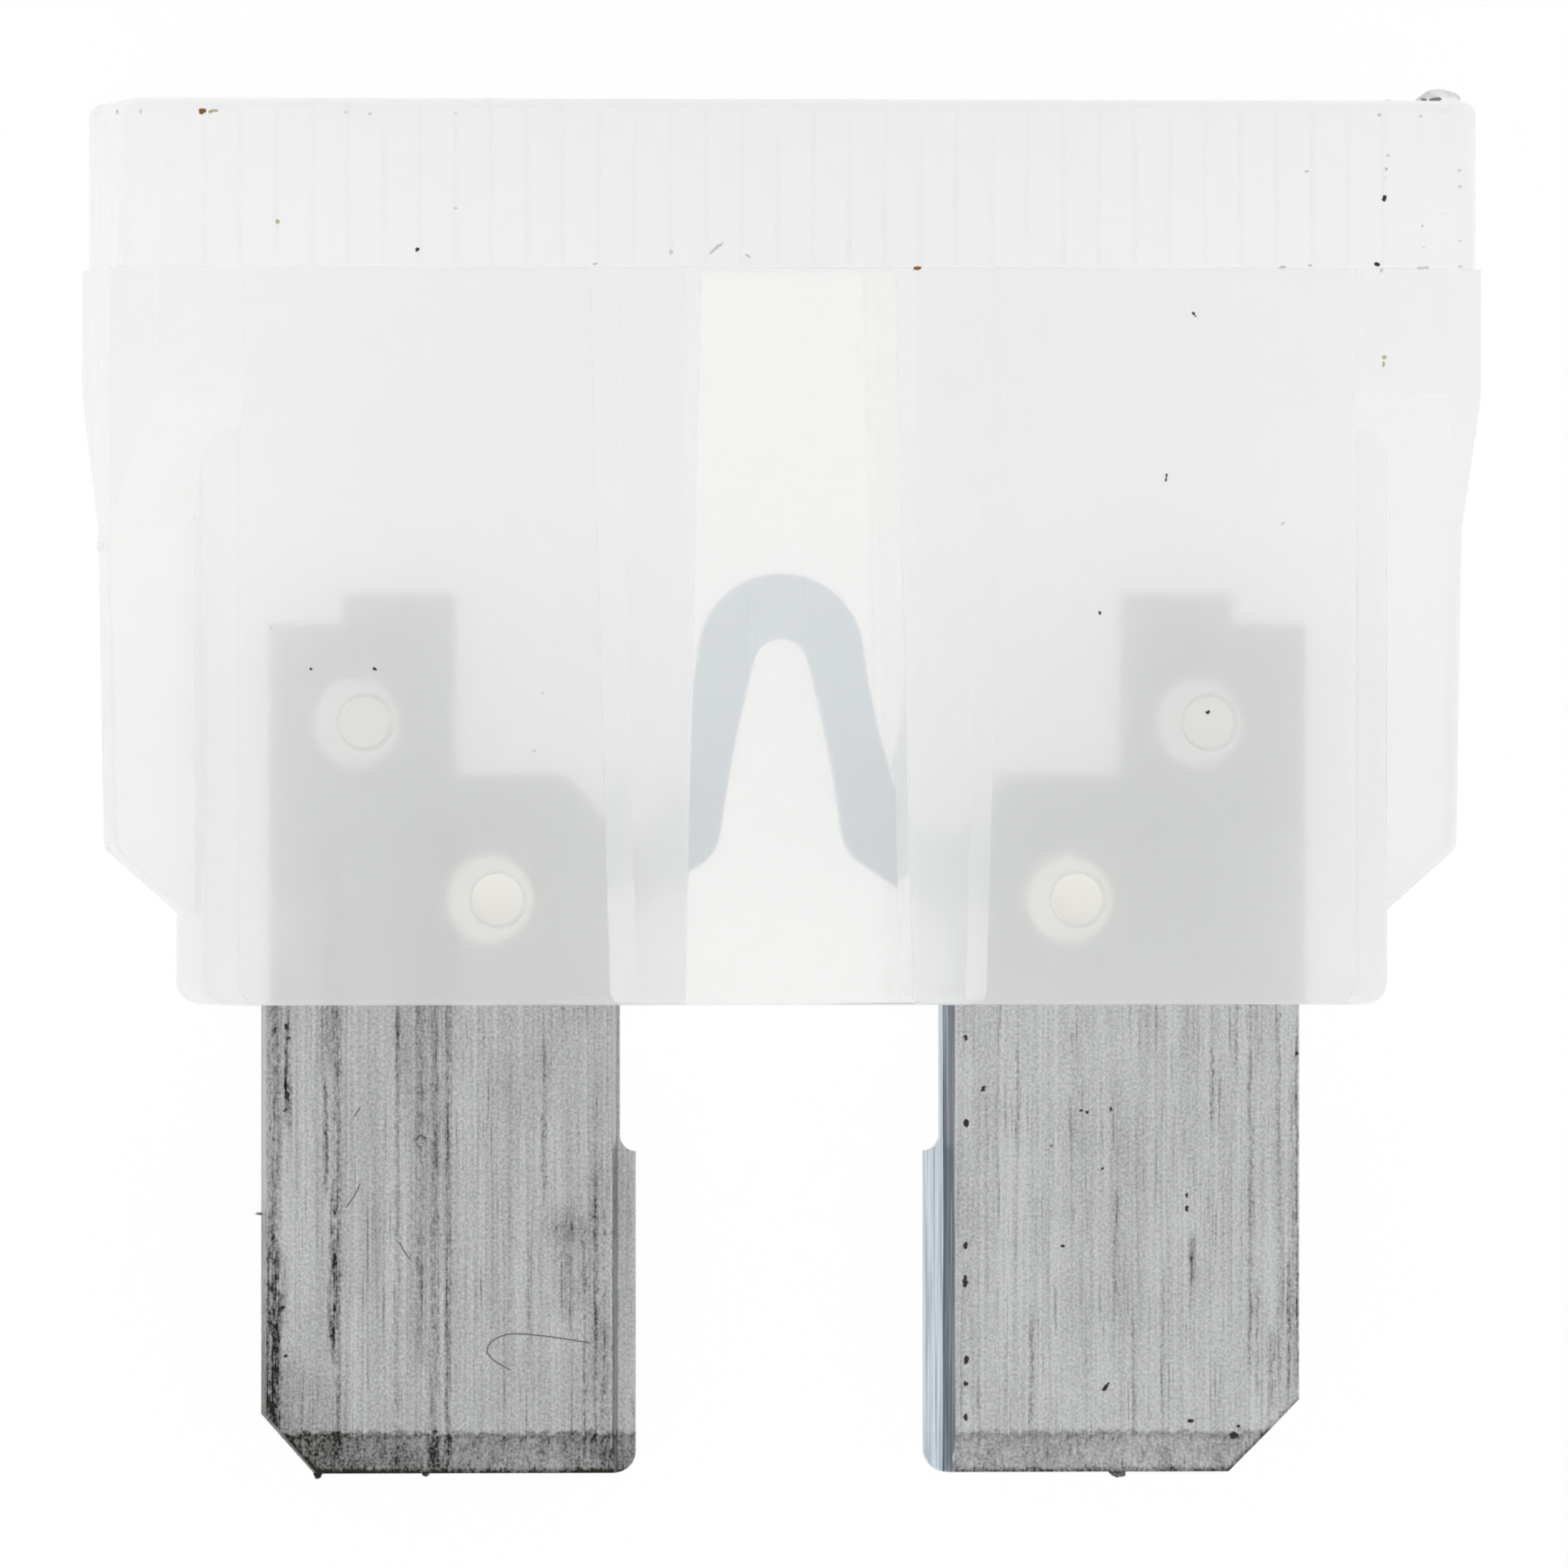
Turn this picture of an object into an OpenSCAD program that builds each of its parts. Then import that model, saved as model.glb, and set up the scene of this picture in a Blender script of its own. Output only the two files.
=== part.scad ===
// Automotive blade fuse of the regular size, in millimetres.
// A moulded housing is pushed down over one stamped fuse element and staked through its holes.
// The fuse lies on its back: +X is to the right, +Y runs from the blade tips to the head, and
// +Z is the face that looks up. Heights are counted along +Y from the underside of the body.

/* [Body] */
// Height of the body, from its underside to the underside of the head
body_h = 10.16; // [9.6:0.01:12]
// Width of the body between its side faces
body_w = 16.48; // [16:0.01:17.2]
// Thickness of the body over its side rails
rail_t = 4.2; // [3.9:0.01:4.5]
// Width of each side rail, which is rounded off to the side face
rail_w = 0.47; // [0.3:0.01:0.6]
// Thickness of the body at the recessed panels over the blades
panel_t = 3.7; // [3:0.01:3.85]
// Radius of the body's two lower corners
foot_r = 0.33; // [0.1:0.01:0.8]

/* [Head] */
// Height of the head
head_h = 2.32; // [1.5:0.01:4]
// Width of the head
head_w = 18.82; // [18:0.01:19]
// Thickness of the head
head_t = 5.1; // [4.8:0.01:5.6]
// Radius of the head's four upright edges
head_edge_r = 0.5; // [0.2:0.01:1]
// Radius of the head's two top corners
head_top_r = 0.2; // [0.1:0.01:0.5]
// Spacing of the grip grooves on the head's front and back
grip_pitch = 0.5; // [0.3:0.01:1]
// Width of a grip groove
grip_w = 0.16; // [0.08:0.01:0.25]
// Depth of a grip groove
grip_depth = 0.05; // [0.03:0.01:0.1]
// Plain height left between the head's underside and the grooves
grip_start = 0.08; // [0.04:0.01:0.5]

/* [Ears and wings] */
// Width over both ears
ear_w = 19.08; // [18.9:0.01:19.6]
// Height of the ears at their full thickness
ear_h = 1.74; // [1:0.01:3]
// Height of the slope from the ears down to the wings
ear_run = 1.74; // [1:0.01:2.4]
// Width over the flat fronts of the ears
ear_flat_w = 17.88; // [17:0.01:18.4]
// Thickness of the ears at their side faces
ear_side_t = 3.5; // [2.5:0.01:4.2]
// Thickness of the wings
wing_t = 1.5; // [1:0.01:2]
// Width over the wings at the foot of the ears' slope
wing_top_w = 18.87; // [18.7:0.01:19]
// Width over the wings at their lower ends
wing_w = 18.7; // [18:0.01:18.8]
// Height of the wings' lower ends above the underside
wing_foot = 1.18; // [0.5:0.01:2]
// Height of the slanted cut at the wings' lower ends
wing_cut = 0.98; // [0.4:0.01:1.5]

/* [Chamber] */
// Width of the raised box round the chamber, at the head
box_top_w = 5.78; // [5.4:0.01:6.4]
// Width of the raised box round the chamber, at the underside
box_foot_w = 5.22; // [4.8:0.01:5.4]
// Thickness of the raised box
box_t = 4.6; // [4.3:0.01:4.8]
// Radius of the raised box's long edges
box_r = 0.6; // [0.3:0.01:0.8]
// Slant of the raised box's lower edge
box_foot_cut = 0.2; // [0.1:0.01:0.4]
// Width of the chamber at its closed top
chamber_top_w = 2.72; // [2.5:0.01:2.9]
// Width of the chamber at its open foot
chamber_foot_w = 3.2; // [3:0.01:3.5]
// Thickness of the chamber, from front wall to back wall
chamber_t = 3.6; // [3:0.01:3.8]

/* [Blades] */
// Thickness of the strip that the element is stamped from
blade_t = 0.65; // [0.6:0.01:0.7]
// Width over the outer edges of both blades
blade_span = 14.4; // [14:0.01:14.8]
// Width of a blade at its tip
blade_w = 5.18; // [5:0.01:5.19]
// Length of the blades below the underside of the body
blade_out = 6.48; // [5.5:0.01:8]
// Height of the coined lead-in at the tips
tip_h = 0.55; // [0.3:0.01:1]
// Thickness of the tips after coining
tip_t = 0.42; // [0.3:0.01:0.55]
// Radius of the tips' inner corners
tip_r = 0.3; // [0.1:0.01:0.5]
// Width of the slanted cut at the left tip's outer corner
cut_left_w = 0.72; // [0.4:0.01:1.2]
// Height of the slanted cut at the left tip's outer corner
cut_left_h = 0.82; // [0.4:0.01:1.2]
// Width of the slanted cut at the right tip's outer corner
cut_right_w = 0.97; // [0.4:0.01:1.2]
// Height of the slanted cut at the right tip's outer corner
cut_right_h = 1; // [0.4:0.01:1.2]
// Height of the small step on the inner edges above the tips
notch_h = 4.45; // [3.5:0.01:5.2]
// Depth of that step, which is also the radius it is rounded with
notch_depth = 0.22; // [0.1:0.01:0.3]

/* [Roots of the blades] */
// Height of the inner shoulders above the underside
shoulder_h = 3.17; // [2.9:0.01:3.6]
// Width of the slanted cut at the shoulders' inner corners
shoulder_cut_w = 0.81; // [0.5:0.01:1]
// Height of the slanted cut at the shoulders' inner corners
shoulder_cut_h = 1.03; // [0.6:0.01:1.2]
// Distance from the middle to the inner edge of a tab
tab_in_x = 4.64; // [4.4:0.01:4.9]
// Distance from the middle to the step in the top of a tab
tab_step_x = 6.19; // [6:0.01:6.6]
// Height of the inner part of a tab above the underside
tab_in_h = 5.67; // [5.3:0.01:6.2]
// Height of the outer part of a tab above the underside
tab_out_h = 5.25; // [4.9:0.01:5.3]
// Radius of the holes that the housing is staked through
hole_r = 0.63; // [0.5:0.01:0.7]
// Distance from the middle to the lower holes
low_hole_x = 4.03; // [3.8:0.01:4.3]
// Height of the lower holes above the underside
low_hole_h = 1.46; // [1.2:0.01:1.8]
// Distance from the middle to the upper holes
high_hole_x = 5.87; // [5.6:0.01:6.1]
// Height of the upper holes above the underside
high_hole_h = 3.9; // [3.6:0.01:4.3]
// Offset of all four holes and stakes from the middle
stake_shift = -0.12; // [-0.15:0.01:0.15]

/* [Fuse link] */
// Thickness of the milled web that the link is cut from
web_t = 0.3; // [0.2:0.01:0.5]
// Distance from the middle to the front edge of the milled web
web_x = 2.39; // [2.28:0.01:2.5]
// Width of the milled slope between web and full thickness
web_slope = 0.12; // [0.05:0.01:0.2]
// Height of the top of the link's arch above the underside
arch_h = 5.96; // [5:0.01:7]
// Outer radius of the link's arch
arch_r = 1.14; // [1:0.01:1.2]
// Radius of the eye under the arch
eye_r = 0.4; // [0.3:0.01:0.5]
// Height of metal between the eye and the top of the arch
arch_t = 0.9; // [0.6:0.01:1.1]
// Height of the link's feet, at their upper side, above the underside
foot_h = 2.32; // [2:0.01:2.6]
// Radius between a leg and its foot on the outer side
foot_bend_r = 0.45; // [0.3:0.01:0.55]
// Height at which a leg starts to flare on its inner side
flare_h = 2.37; // [2.1:0.01:2.8]
// Radius of that flare
flare_r = 0.6; // [0.4:0.01:0.8]

/* [Fits] */
// Clearance between the element and its pocket in the housing, on each side
pocket_gap = 0.04; // [0.02:0.005:0.08]
// Radius of a stake's punch mark at the panel's face
mark_r = 0.41; // [0.38:0.01:0.5]
// Radius of its flat floor
mark_floor_r = 0.35; // [0.25:0.01:0.37]
// Depth of its floor below the panel's face
mark_depth = 0.2; // [0.05:0.01:0.6]

/* [Hidden] */
$fn = 48;
over = 0.5; // how far a cutter runs past what it cuts
total_h = blade_out + body_h + head_h;
underside_y = blade_out - total_h / 2;
blade_out_x = blade_span / 2;
blade_in_x = blade_out_x - blade_w;
root_in_x = blade_in_x + notch_depth;
pocket_t = blade_t + 2 * pocket_gap;
web_front_z = web_t - blade_t / 2;
ear_t = head_t;
ear_in_x = body_w / 2 - rail_w;
box_edge_seg = 8;
// Directions of the link's edges, in degrees from +X
arch_out_dir = -83;
leg_out_dir = -69;
eye_out_dir = -75;
leg_in_dir = -82.6;
foot_in_dir = -34;

// Helpers

// Puts a shape drawn about the underside and the middle plane into the frame of the part
module seat() translate([0, underside_y, head_t / 2]) children();

// Draws its children on the right and mirrored on the left
module both_sides() for (side = [0, 1]) mirror([side, 0, 0]) children();

// Extrudes a section drawn in X and Z along +Y, from height y0 to y1
module along_y(y0, y1)
    translate([0, y1, 0]) rotate([90, 0, 0]) linear_extrude(y1 - y0) children();

// Extrudes a section drawn in Y and Z along X, over the whole width w about the middle
module across_x(w)
    rotate([90, 0, 90]) linear_extrude(w, center = true) children();

// A plate of thickness t about the middle plane
module plate(t) linear_extrude(t, center = true) children();

// A rectangle about the middle with true arcs at its corners
module rounded_bar(w, t, r) {
    square([w - 2 * r, t], center = true);
    square([w, t - 2 * r], center = true);
    for (x = [-1, 1], z = [-1, 1])
        translate([x * (w / 2 - r), z * (t / 2 - r)]) circle(r);
}

// What a radius r takes off a corner whose tip is at the middle and points to +X and +Y
module corner_waste(r)
    difference() {
        translate([-r, -r]) square(r + over);
        translate([-r, -r]) circle(r);
    }

// Points of an arc that starts at p and turns from direction d0 to d1 with radius r
function bend(p, d0, d1, r, steps = 10) =
    let (side = sign(d1 - d0), c = p + r * [cos(d0 + 90 * side), sin(d0 + 90 * side)])
    [for (i = [0 : steps])
        let (d = d0 + (d1 - d0) * i / steps)
        c + r * [cos(d - 90 * side), sin(d - 90 * side)]];

function last(points) = points[len(points) - 1];

// Housing, one injection moulding

// The body between the blades' roots: rails at the sides, recessed panels between them
module body_bar()
    difference() {
        along_y(0, body_h + head_h / 2)
            difference() {
                rounded_bar(body_w, rail_t, rail_w);
                for (z = [-1, 1])
                    translate([0, z * (panel_t + rail_t) / 2])
                        square([body_w - 2 * rail_w, rail_t], center = true);
            }
        both_sides()
            plate(rail_t + over)
                translate([body_w / 2, 0]) mirror([0, 1]) corner_waste(foot_r);
    }

module head()
    difference() {
        along_y(body_h, body_h + head_h) rounded_bar(head_w, head_t, head_edge_r);
        both_sides()
            plate(head_t + over)
                translate([head_w / 2, body_h + head_h]) corner_waste(head_top_r);
    }

// Fine upright grooves on the front and the back of the head
module grips() {
    reach = head_w / 2 - head_edge_r - grip_w;
    first = grip_pitch / 2;
    for (x = [first : grip_pitch : reach], sx = [-1, 1], sz = [-1, 1])
        along_y(body_h + grip_start, body_h + head_h + over)
            polygon([
                [sx * x - grip_w / 2, sz * head_t / 2],
                [sx * x, sz * (head_t / 2 - grip_depth)],
                [sx * x + grip_w / 2, sz * head_t / 2],
                [sx * x, sz * (head_t / 2 + grip_depth)],
            ]);
}

// The thick block at each end of the ledge, bevelled to the side. Below it the block tapers down to the
// wing's thickness, at its front, back and side
module ear() {
    slope_top = body_h - ear_h;
    hull() {
        along_y(slope_top, body_h)
            polygon([
                [ear_in_x, ear_t / 2],
                [ear_flat_w / 2, ear_t / 2],
                [ear_w / 2, ear_side_t / 2],
                [ear_w / 2, -ear_side_t / 2],
                [ear_flat_w / 2, -ear_t / 2],
                [ear_in_x, -ear_t / 2],
            ]);
        plate(wing_t)
            polygon([
                [ear_in_x, slope_top],
                [ear_w / 2, slope_top],
                [wing_top_w / 2, slope_top - ear_run],
                [ear_in_x, slope_top - ear_run],
            ]);
    }
}

// The thin fin down each side of the body
module wing()
    plate(wing_t)
        polygon([
            [body_w / 2 - rail_w, body_h],
            [ear_w / 2, body_h],
            [ear_w / 2, body_h - ear_h],
            [wing_top_w / 2, body_h - ear_h - ear_run],
            [wing_w / 2, wing_foot + wing_cut],
            [body_w / 2, wing_foot],
            [body_w / 2 - rail_w, wing_foot],
        ]);

// One thin slice of the raised box, of width w and thickness t, at height y
module box_slice(y, w, t, r)
    along_y(y, y + 0.01) rounded_bar(w, t, r, $fn = 4 * box_edge_seg);

// The raised box that stands round the chamber, tapered towards the underside
module chamber_box() {
    cut = box_foot_cut;
    hull() {
        box_slice(body_h, box_top_w, box_t, box_r);
        box_slice(cut, box_foot_w, box_t, box_r);
        box_slice(0, box_foot_w - 2 * cut, box_t - 2 * cut, box_r);
    }
}

// The space round the link, open at the underside and closed by the head
module chamber() {
    lean = (chamber_foot_w - chamber_top_w) / 2 / body_h;
    plate(chamber_t)
        polygon([
            [-chamber_top_w / 2, body_h],
            [chamber_top_w / 2, body_h],
            [chamber_foot_w / 2 + lean * over, -over],
            [-chamber_foot_w / 2 - lean * over, -over],
        ]);
}

// The slot that takes a blade's root and the link's foot, larger than they are by the gap
module root_pocket() {
    gap = pocket_gap;
    in_chamber_x = chamber_top_w / 2 - over;
    plate(pocket_t)
        polygon([
            [blade_out_x + gap, -over],
            [blade_out_x + gap, tab_out_h + gap],
            [tab_step_x + gap, tab_out_h + gap],
            [tab_step_x + gap, tab_in_h + gap],
            [tab_in_x - gap, tab_in_h + gap],
            [tab_in_x - gap, shoulder_h + gap],
            [in_chamber_x, shoulder_h + gap],
            [in_chamber_x, -over],
        ]);
}

// Draws its children at each of the four stakes
module at_stakes()
    for (side = [-1, 1]) {
        translate([stake_shift + side * low_hole_x, low_hole_h, 0]) children();
        translate([stake_shift + side * high_hole_x, high_hole_h, 0]) children();
    }

// Plastic pressed through a hole of the element
module stake() cylinder(r = hole_r - pocket_gap, h = pocket_t + 2 * pocket_gap, center = true);

// The two punch marks of a stake, one in each panel
module punch_marks()
    for (z = [0, 1]) mirror([0, 0, z])
        rotate_extrude()
            polygon([
                [0, panel_t / 2 - mark_depth],
                [mark_floor_r, panel_t / 2 - mark_depth],
                [mark_r, panel_t / 2],
                [mark_r, panel_t / 2 + over],
                [0, panel_t / 2 + over],
            ]);

module housing()
    color("whitesmoke")
    seat()
    difference() {
        union() {
            difference() {
                union() {
                    body_bar();
                    head();
                    chamber_box();
                    both_sides() ear();
                    both_sides() wing();
                }
                chamber();
                both_sides() root_pocket();
            }
            at_stakes() stake();
        }
        at_stakes() punch_marks();
        grips();
    }

// Fuse element, one stamping

// Outline of the right blade with its root, from the link's foot over the tab and round the tip
function blade_outline(cut_w, cut_h) =
    let (tip = -blade_out, step = tip + notch_h, cut_start = shoulder_h - shoulder_cut_h)
    concat(
        [if (foot_h < cut_start) [root_in_x, cut_start]],
        [
            [root_in_x + shoulder_cut_w, shoulder_h],
            [tab_in_x, shoulder_h],
            [tab_in_x, tab_in_h],
            [tab_step_x, tab_in_h],
            [tab_step_x, tab_out_h],
            [blade_out_x, tab_out_h],
            [blade_out_x, tip + cut_h],
            [blade_out_x - cut_w, tip],
        ],
        bend([blade_in_x + tip_r, tip], 180, 90, tip_r),
        bend([blade_in_x, step], 0, 90, notch_depth)
    );

// Outer edge of the link's right half, from the top of the arch to the blade
function link_outside() =
    let (
        arch = bend([0, arch_h], 0, arch_out_dir, arch_r, 16),
        drop = last(arch).y - foot_h - foot_bend_r * (1 - cos(leg_out_dir)),
        leg_r = drop / (cos(leg_out_dir) - cos(arch_out_dir)),
        leg = bend(last(arch), arch_out_dir, leg_out_dir, leg_r),
        foot = bend(last(leg), leg_out_dir, 0, foot_bend_r),
        above_cut = max(0, foot_h - shoulder_h + shoulder_cut_h)
    )
    concat(arch, leg, foot, [[root_in_x + above_cut * shoulder_cut_w / shoulder_cut_h, foot_h]]);

// Inner edge of the link's right half, from the eye to the blade
function link_inside() =
    let (
        eye = bend([0, arch_h - arch_t], 0, eye_out_dir, eye_r),
        drop = last(eye).y - flare_h,
        leg_r = drop / (cos(eye_out_dir) - cos(leg_in_dir)),
        leg = bend(last(eye), eye_out_dir, leg_in_dir, leg_r),
        flare = bend(last(leg), leg_in_dir, foot_in_dir, flare_r),
        run = root_in_x - last(flare).x
    )
    concat(eye, leg, flare, [last(flare) + run * [1, tan(foot_in_dir)]]);

// Outline of the element's right half, from the top of the arch round to the eye's top
function half_outline(cut_w, cut_h) =
    let (inside = link_inside())
    concat(link_outside(), blade_outline(cut_w, cut_h),
        [for (i = [len(inside) - 1 : -1 : 0]) inside[i]]);

// The whole stamping seen from the front, both blades and the fusible link between them
module strip() {
    right = half_outline(cut_right_w, cut_right_h);
    left = half_outline(cut_left_w, cut_left_h);
    polygon(concat(right, [for (i = [len(left) - 2 : -1 : 1]) [-left[i].x, left[i].y]]));
}

// The trough milled down the front of the strip, which leaves the thin web
module web_trough()
    along_y(-blade_out - over, tab_in_h + over)
        polygon([
            [-web_x, blade_t / 2],
            [-web_x + web_slope, web_front_z],
            [web_x - web_slope, web_front_z],
            [web_x, blade_t / 2],
            [web_x, blade_t],
            [-web_x, blade_t],
        ]);

// What coining takes off both faces at the tips
module tip_waste()
    for (z = [0, 1]) mirror([0, 0, z])
        across_x(blade_span + over)
            polygon([
                [-blade_out + tip_h, blade_t / 2],
                [-blade_out, tip_t / 2],
                [-blade_out - over, tip_t / 2],
                [-blade_out - over, blade_t],
                [-blade_out + tip_h, blade_t],
            ]);

module fuse_element()
    color("silver")
    seat()
    difference() {
        plate(blade_t) strip();
        web_trough();
        tip_waste();
        at_stakes() cylinder(r = hole_r, h = blade_t + over, center = true);
    }

housing();
fuse_element();
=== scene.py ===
# Regular blade fuse for cars: a milky nylon housing over a stamped element of tinned zinc, laid flat
# Sizes are in millimetres up to the moment a mesh is finished
import math

import bmesh
import bpy
from mathutils import Euler, Matrix, Vector
from mathutils.noise import noise as turbulence


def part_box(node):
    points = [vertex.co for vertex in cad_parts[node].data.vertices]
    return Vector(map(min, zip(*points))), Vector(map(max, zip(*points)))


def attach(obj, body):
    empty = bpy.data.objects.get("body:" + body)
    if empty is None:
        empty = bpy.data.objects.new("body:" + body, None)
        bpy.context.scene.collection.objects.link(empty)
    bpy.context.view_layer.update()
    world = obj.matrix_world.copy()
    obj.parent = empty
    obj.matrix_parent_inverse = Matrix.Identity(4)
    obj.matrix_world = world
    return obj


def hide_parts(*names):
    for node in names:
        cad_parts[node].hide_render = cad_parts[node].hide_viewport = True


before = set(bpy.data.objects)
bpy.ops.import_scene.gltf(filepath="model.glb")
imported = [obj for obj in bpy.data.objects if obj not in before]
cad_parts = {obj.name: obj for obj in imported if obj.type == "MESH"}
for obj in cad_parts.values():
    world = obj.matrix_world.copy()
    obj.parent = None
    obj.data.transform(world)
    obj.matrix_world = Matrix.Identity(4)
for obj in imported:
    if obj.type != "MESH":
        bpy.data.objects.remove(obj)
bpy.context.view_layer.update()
mm = 0.001
housingLow, housingHigh = (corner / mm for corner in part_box("housing"))
elementLow, elementHigh = (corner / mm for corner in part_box("fuse_element"))
undersideY = housingLow.y  # heights are counted from the housing's underside
middleZ = (housingLow.z + housingHigh.z) / 2  # depths are counted from the middle plane
print("frame loaded")


# Colours and nodes

def hexColour(code):
    channels = [int(code[i:i + 2], 16) / 255 for i in (1, 3, 5)]
    return [c / 12.92 if c <= 0.04045 else ((c + 0.055) / 1.055) ** 2.4 for c in channels] + [1.0]


def addNode(tree, kind, inputs=None, **settings):
    node = tree.nodes.new(kind)
    for name, value in settings.items():
        setattr(node, name, value)
    for key, value in (inputs or {}).items():
        if isinstance(value, bpy.types.NodeSocket):
            tree.links.new(value, node.inputs[key])
        else:
            node.inputs[key].default_value = value
    return node


def calc(tree, operation, first, second=0.0):
    return addNode(tree, "ShaderNodeMath", {0: first, 1: second}, operation=operation).outputs[0]


def chain(tree, operation, values):
    result = values[0]
    for value in values[1:]:
        result = calc(tree, operation, result, value)
    return result


def fade(tree, value, start, end, low=0.0, high=1.0):
    ranged = addNode(tree, "ShaderNodeMapRange", {
        "Value": value, "From Min": start, "From Max": end, "To Min": low, "To Max": high},
        interpolation_type="SMOOTHSTEP")
    return ranged.outputs["Result"]


def near(tree, value, middle, half, soft):
    away = calc(tree, "ABSOLUTE", calc(tree, "SUBTRACT", value, middle))
    return fade(tree, away, half - soft / 2, half + soft / 2, 1.0, 0.0)


def blend(tree, factor, first, second):
    return addNode(tree, "ShaderNodeMix", {"Factor": factor, "A": first, "B": second},
                   data_type="RGBA").outputs["Result"]


# Every noise in a settings dictionary is written as grain width, grain length, detail and strength
def noise(tree, position, width, length, detail, strength):
    scaled = addNode(tree, "ShaderNodeVectorMath", {0: position, 1: (1 / width, 1 / length, 1 / width)},
                     operation="MULTIPLY")
    grain = addNode(tree, "ShaderNodeTexNoise", {"Vector": scaled.outputs[0], "Scale": 1.0, "Detail": detail})
    return calc(tree, "MULTIPLY", calc(tree, "SUBTRACT", grain.outputs[0], 0.5), strength)


def noises(tree, position, *settings):
    return [noise(tree, position, *each) for each in settings]


def inMillimetres(tree):
    metres = addNode(tree, "ShaderNodeTexCoord").outputs["Object"]
    scaled = addNode(tree, "ShaderNodeVectorMath", {0: metres, "Scale": 1 / mm}, operation="SCALE")
    parts = addNode(tree, "ShaderNodeSeparateXYZ", {0: scaled.outputs[0]}).outputs
    return scaled.outputs[0], parts["X"], parts["Y"]


def newMaterial(name):
    material = bpy.data.materials.new(name)
    material.use_nodes = True
    material.node_tree.nodes.clear()
    return material, material.node_tree


# Mesh tools

def place(x, height, depth):
    return Vector((x, height + undersideY, depth + middleZ))


def arc(centreX, centreY, radius, start, end, steps):
    angles = [math.radians(start + (end - start) * i / steps) for i in range(steps + 1)]
    return [(centreX + radius * math.cos(a), centreY + radius * math.sin(a)) for a in angles]


def loft(rings):
    bm = bmesh.new()
    loops = [[bm.verts.new(point) for point in ring] for ring in rings]
    count = len(loops[0])
    for below, above in zip(loops, loops[1:]):
        for i in range(count):
            j = (i + 1) % count
            bm.faces.new((below[i], below[j], above[j], above[i]))
    bm.faces.new(reversed(loops[0]))
    bm.faces.new(loops[-1])
    return bm


def soften(bm, radius, steps=2, sharpest=25):
    bmesh.ops.recalc_face_normals(bm, faces=bm.faces)
    bmesh.ops.remove_doubles(bm, verts=bm.verts, dist=1e-4)
    edges = [e for e in bm.edges if len(e.link_faces) == 2 and e.calc_face_angle(0) > math.radians(sharpest)]
    bmesh.ops.bevel(bm, geom=edges, offset=radius, segments=steps, profile=0.5, affect="EDGES",
                    clamp_overlap=True)
    return bm


def newObject(name, data):
    made = bpy.data.objects.new(name, data)
    bpy.context.scene.collection.objects.link(made)
    return made


def finishMesh(bm, name, material):
    bmesh.ops.remove_doubles(bm, verts=bm.verts, dist=1e-4)
    bmesh.ops.recalc_face_normals(bm, faces=bm.faces)
    bmesh.ops.scale(bm, vec=(mm, mm, mm), verts=bm.verts)
    mesh = bpy.data.meshes.new(name)
    bm.to_mesh(mesh)
    bm.free()
    mesh.materials.append(material)
    return newObject(name, mesh)


def bakeModifiers(piece):
    bpy.context.view_layer.update()
    evaluated = piece.evaluated_get(bpy.context.evaluated_depsgraph_get())
    mesh = bpy.data.meshes.new_from_object(evaluated)
    piece.modifiers.clear()
    old = piece.data
    piece.data = mesh
    bpy.data.meshes.remove(old)
    return piece


def runNodes(piece, tree, values):
    run = piece.modifiers.new(tree.name, "NODES")
    run.node_group = tree
    sockets = {item.name: item.identifier for item in tree.interface.items_tree if item.in_out == "INPUT"}
    for name, value in values.items():
        run[sockets[name]] = value
    return bakeModifiers(piece)


def combine(piece, others, operation):
    group = bpy.data.collections.new(piece.name + "Others")
    bpy.context.scene.collection.children.link(group)
    for other in others:
        bpy.context.scene.collection.objects.unlink(other)
        group.objects.link(other)
    cut = piece.modifiers.new(operation, "BOOLEAN")
    cut.operation = operation
    cut.solver = "EXACT"
    cut.operand_type = "COLLECTION"
    cut.collection = group
    bakeModifiers(piece)
    for other in others:
        bpy.data.objects.remove(other)
    bpy.data.collections.remove(group)


def smoothSides(piece, sharpest=32):
    bm = bmesh.new()
    bm.from_mesh(piece.data)
    bmesh.ops.remove_doubles(bm, verts=bm.verts, dist=2e-7)
    bmesh.ops.dissolve_degenerate(bm, dist=1e-7, edges=bm.edges)
    openEdges = sum(1 for e in bm.edges if len(e.link_faces) != 2)
    for face in bm.faces:
        face.smooth = True
    for edge in bm.edges:
        edge.smooth = edge.calc_face_angle(0) < math.radians(sharpest) if len(edge.link_faces) == 2 else False
    bm.to_mesh(piece.data)
    bm.free()
    weighted = piece.modifiers.new("faceNormals", "WEIGHTED_NORMAL")
    weighted.keep_sharp = True
    bakeModifiers(piece)
    print(piece.name, "faces", len(piece.data.polygons), "open edges", openEdges)


# Housing: one moulding

body = {
    "height": 10.16, "halfWidth": 8.24, "halfRail": 2.1, "railWidth": 0.47, "halfPanel": 1.85,
    "footRadius": 0.33, "lowerEdge": 0.1, "stepFillet": 0.05, "intoHead": 0.9,
}
head = {"height": 2.32, "halfWidth": 9.41, "halfThick": 2.55, "edge": 0.5, "topEdge": 0.2, "lowerEdge": 0.04}
grip = {"pitch": 0.496, "halfWidth": 0.06, "depth": 0.02, "start": 0.03, "length": 3.2, "shift": -0.12}
ear = {
    "innerX": 7.75, "halfWidth": 9.54, "halfFlat": 8.94, "halfSide": 1.75, "height": 1.74, "run": 1.74,
    "edge": 0.1,
}
wing = {
    "halfThick": 0.75, "halfTop": 9.435, "halfFoot": 9.35, "foot": 1.18, "cut": 0.98, "edge": 0.1,
    "intoBody": 0.7, "intoEar": 1.2,
}
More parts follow.
